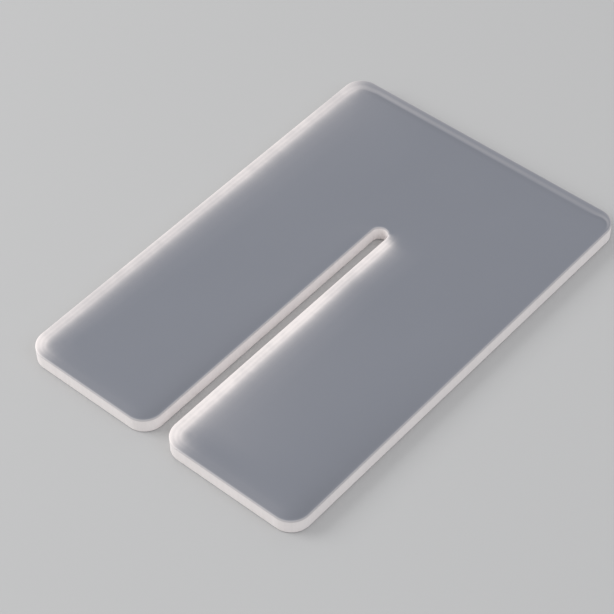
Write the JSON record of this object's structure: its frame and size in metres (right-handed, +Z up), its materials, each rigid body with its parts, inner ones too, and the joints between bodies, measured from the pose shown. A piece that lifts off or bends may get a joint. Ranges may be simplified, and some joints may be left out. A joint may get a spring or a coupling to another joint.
{
  "type": "slotted plate",
  "caption": "Flat rectangular plate of frosted translucent plastic with rounded corners and one long narrow round-ended slot, open at a short edge.",
  "frame": {"origin": "middle of the plate's underside, which lies in the slot's void 0.75 mm from the slot's centre line", "axes": "+X across the plate, +Y along it from the slotted edge to the solid edge, +Z up through its thickness"},
  "size_m": [0.08, 0.117, 0.004],
  "materials": {
    "frosted_sheet": "satin, translucent sheet with ground edges"
  },
  "bodies": {
    "root": {"slotted_plate": "frosted_sheet"}
  },
  "joints": []
}
